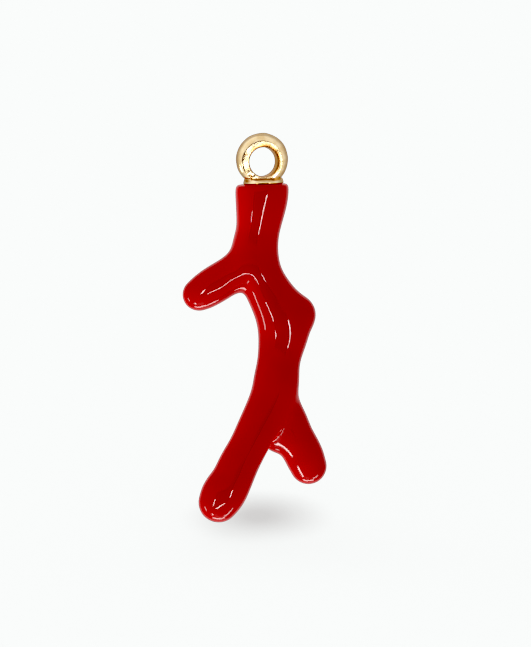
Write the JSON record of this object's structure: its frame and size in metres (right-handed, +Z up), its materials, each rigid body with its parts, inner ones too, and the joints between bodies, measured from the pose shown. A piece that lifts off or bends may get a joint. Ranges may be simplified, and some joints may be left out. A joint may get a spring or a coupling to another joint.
{
  "type": "red coral branch charm",
  "caption": "Hanging charm: glossy red coral branch that forks to the left and again below, under a gold ring on a small oval foot.",
  "frame": {"origin": "centre of the ring's eye, where the charm hangs", "axes": "+Z up along the hanging charm, +X to the right as seen from the front, and the front faces -Y"},
  "size_m": [0.0111, 0.0067, 0.0298],
  "materials": {
    "gold_ring": "gold-plated brass, cast and polished, with faint casting marks",
    "gold_foot": "gold-plated brass, polished, with a warm darker rim where it meets the coral",
    "red_coral": "deep red, even, with a thick wet-looking gloss"
  },
  "bodies": {
    "root": {"ring": "gold_ring", "foot": "gold_foot", "stem": "red_coral", "left_limb": "red_coral", "trunk": "red_coral", "lower_left_leg": "red_coral", "lower_right_leg": "red_coral"}
  },
  "joints": []
}
